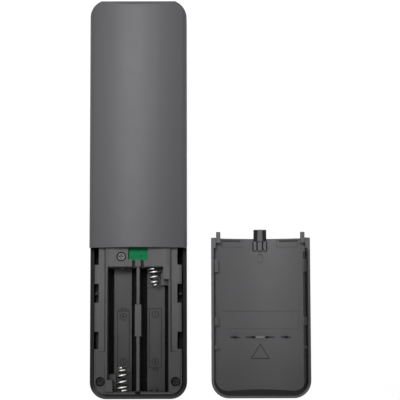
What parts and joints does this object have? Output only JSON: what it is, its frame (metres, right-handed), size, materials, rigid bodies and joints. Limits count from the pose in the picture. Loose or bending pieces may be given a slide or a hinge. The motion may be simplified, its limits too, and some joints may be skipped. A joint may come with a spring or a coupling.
{
  "type": "universal remote control",
  "caption": "Slim bar remote control lying face down with its battery bay open: push keys and rockers on the front, spring contacts in the bay, and its battery cover off beside it.",
  "frame": {"origin": "middle of the flat front face, which the remote lies on", "axes": "+Y towards the infrared end, +X to the right as seen from behind, +Z out of the back"},
  "size_m": [0.0867, 0.157, 0.0175],
  "materials": {
    "front_plastic": "fine texture",
    "rear_plastic": "satin",
    "tray_plastic": "matte",
    "cover_plastic": "matte inside, satin outside",
    "board": "solder mask",
    "pins": "plated",
    "membrane": "silicone",
    "chip": "moulded",
    "can": "pressed",
    "capacitor": "sleeved",
    "lamp": "clear resin",
    "ir_window": "dark infrared acrylic",
    "light_pipe": "clear",
    "contact_metal": "nickel plate",
    "screw_steel": "plated",
    "key_plastic": "satin",
    "red_keys": "satin",
    "green_keys": "satin",
    "yellow_keys": "satin",
    "blue_keys": "satin"
  },
  "bodies": {
    "remote": {"front_shell": "front_plastic", "rear_shell": "rear_plastic", "battery_tray": "tray_plastic", "circuit_board": "board", "contact_board": "board", "link_pins": "pins", "keypad_membrane": "membrane", "main_chip": "chip", "radio_can": "can", "crystal": "can", "capacitors": "capacitor", "ir_lamp": "lamp", "ir_window": "ir_window", "status_lamp": "lamp", "light_pipe": "light_pipe", "microphone": "can", "positive_plate": "contact_metal", "negative_plate": "contact_metal", "bridge_plate": "contact_metal", "negative_spring": "contact_metal", "bridge_spring": "contact_metal", "case_screws": "screw_steel"},
    "power_key": {"power_key": "red_keys"},
    "voice_key": {"voice_key": "key_plastic"},
    "source_key": {"source_key": "key_plastic"},
    "up_key": {"up_key": "key_plastic"},
    "left_key": {"left_key": "key_plastic"},
    "down_key": {"down_key": "key_plastic"},
    "right_key": {"right_key": "key_plastic"},
    "ok_key": {"ok_key": "key_plastic"},
    "back_key": {"back_key": "key_plastic"},
    "home_key": {"home_key": "key_plastic"},
    "menu_key": {"menu_key": "key_plastic"},
    "mute_key": {"mute_key": "key_plastic"},
    "info_key": {"info_key": "key_plastic"},
    "rewind_key": {"rewind_key": "key_plastic"},
    "play_key": {"play_key": "key_plastic"},
    "forward_key": {"forward_key": "key_plastic"},
    "red_key": {"red_key": "red_keys"},
    "green_key": {"green_key": "green_keys"},
    "yellow_key": {"yellow_key": "yellow_keys"},
    "blue_key": {"blue_key": "blue_keys"},
    "volume_rocker": {"volume_rocker": "key_plastic"},
    "channel_rocker": {"channel_rocker": "key_plastic"},
    "battery_cover": {"battery_cover": "cover_plastic"}
  },
  "joints": [
    {"name": "power_press", "type": "slide", "parent": "remote", "child": "power_key", "axis": [0, 0, 1], "range_m": [0, 0.0008], "stiffness_N_per_m": 500, "springref_m": -0.0006},
    {"name": "voice_press", "type": "slide", "parent": "remote", "child": "voice_key", "axis": [0, 0, 1], "range_m": [0, 0.0008], "stiffness_N_per_m": 500, "springref_m": -0.0006},
    {"name": "source_press", "type": "slide", "parent": "remote", "child": "source_key", "axis": [0, 0, 1], "range_m": [0, 0.0008], "stiffness_N_per_m": 500, "springref_m": -0.0006},
    {"name": "up_press", "type": "slide", "parent": "remote", "child": "up_key", "axis": [0, 0, 1], "range_m": [0, 0.0008], "stiffness_N_per_m": 500, "springref_m": -0.0006},
    {"name": "left_press", "type": "slide", "parent": "remote", "child": "left_key", "axis": [0, 0, 1], "range_m": [0, 0.0008], "stiffness_N_per_m": 500, "springref_m": -0.0006},
    {"name": "down_press", "type": "slide", "parent": "remote", "child": "down_key", "axis": [0, 0, 1], "range_m": [0, 0.0008], "stiffness_N_per_m": 500, "springref_m": -0.0006},
    {"name": "right_press", "type": "slide", "parent": "remote", "child": "right_key", "axis": [0, 0, 1], "range_m": [0, 0.0008], "stiffness_N_per_m": 500, "springref_m": -0.0006},
    {"name": "ok_press", "type": "slide", "parent": "remote", "child": "ok_key", "axis": [0, 0, 1], "range_m": [0, 0.0008], "stiffness_N_per_m": 500, "springref_m": -0.0006},
    {"name": "back_press", "type": "slide", "parent": "remote", "child": "back_key", "axis": [0, 0, 1], "range_m": [0, 0.0008], "stiffness_N_per_m": 500, "springref_m": -0.0006},
    {"name": "home_press", "type": "slide", "parent": "remote", "child": "home_key", "axis": [0, 0, 1], "range_m": [0, 0.0008], "stiffness_N_per_m": 500, "springref_m": -0.0006},
    {"name": "menu_press", "type": "slide", "parent": "remote", "child": "menu_key", "axis": [0, 0, 1], "range_m": [0, 0.0008], "stiffness_N_per_m": 500, "springref_m": -0.0006},
    {"name": "mute_press", "type": "slide", "parent": "remote", "child": "mute_key", "axis": [0, 0, 1], "range_m": [0, 0.0008], "stiffness_N_per_m": 500, "springref_m": -0.0006},
    {"name": "info_press", "type": "slide", "parent": "remote", "child": "info_key", "axis": [0, 0, 1], "range_m": [0, 0.0008], "stiffness_N_per_m": 500, "springref_m": -0.0006},
    {"name": "rewind_press", "type": "slide", "parent": "remote", "child": "rewind_key", "axis": [0, 0, 1], "range_m": [0, 0.0008], "stiffness_N_per_m": 500, "springref_m": -0.0006},
    {"name": "play_press", "type": "slide", "parent": "remote", "child": "play_key", "axis": [0, 0, 1], "range_m": [0, 0.0008], "stiffness_N_per_m": 500, "springref_m": -0.0006},
    {"name": "forward_press", "type": "slide", "parent": "remote", "child": "forward_key", "axis": [0, 0, 1], "range_m": [0, 0.0008], "stiffness_N_per_m": 500, "springref_m": -0.0006},
    {"name": "red_press", "type": "slide", "parent": "remote", "child": "red_key", "axis": [0, 0, 1], "range_m": [0, 0.0008], "stiffness_N_per_m": 500, "springref_m": -0.0006},
    {"name": "green_press", "type": "slide", "parent": "remote", "child": "green_key", "axis": [0, 0, 1], "range_m": [0, 0.0008], "stiffness_N_per_m": 500, "springref_m": -0.0006},
    {"name": "yellow_press", "type": "slide", "parent": "remote", "child": "yellow_key", "axis": [0, 0, 1], "range_m": [0, 0.0008], "stiffness_N_per_m": 500, "springref_m": -0.0006},
    {"name": "blue_press", "type": "slide", "parent": "remote", "child": "blue_key", "axis": [0, 0, 1], "range_m": [0, 0.0008], "stiffness_N_per_m": 500, "springref_m": -0.0006},
    {"name": "volume_rock", "type": "hinge", "parent": "remote", "child": "volume_rocker", "pos_m": [0.011, 0.00934, 0.0031], "axis": [1, 0, 0], "range_deg": [-2.5, 2.5], "stiffness_Nm_per_rad": 0.05},
    {"name": "channel_rock", "type": "hinge", "parent": "remote", "child": "channel_rocker", "pos_m": [-0.011, 0.00934, 0.0031], "axis": [1, 0, 0], "range_deg": [-2.5, 2.5], "stiffness_Nm_per_rad": 0.05},
    {"name": "cover_turn", "type": "hinge", "parent": "remote", "child": "battery_cover", "pos_m": [0.024, -0.0482, 0.0124], "axis": [0, -1, 0], "range_deg": [0, 180]}
  ]
}
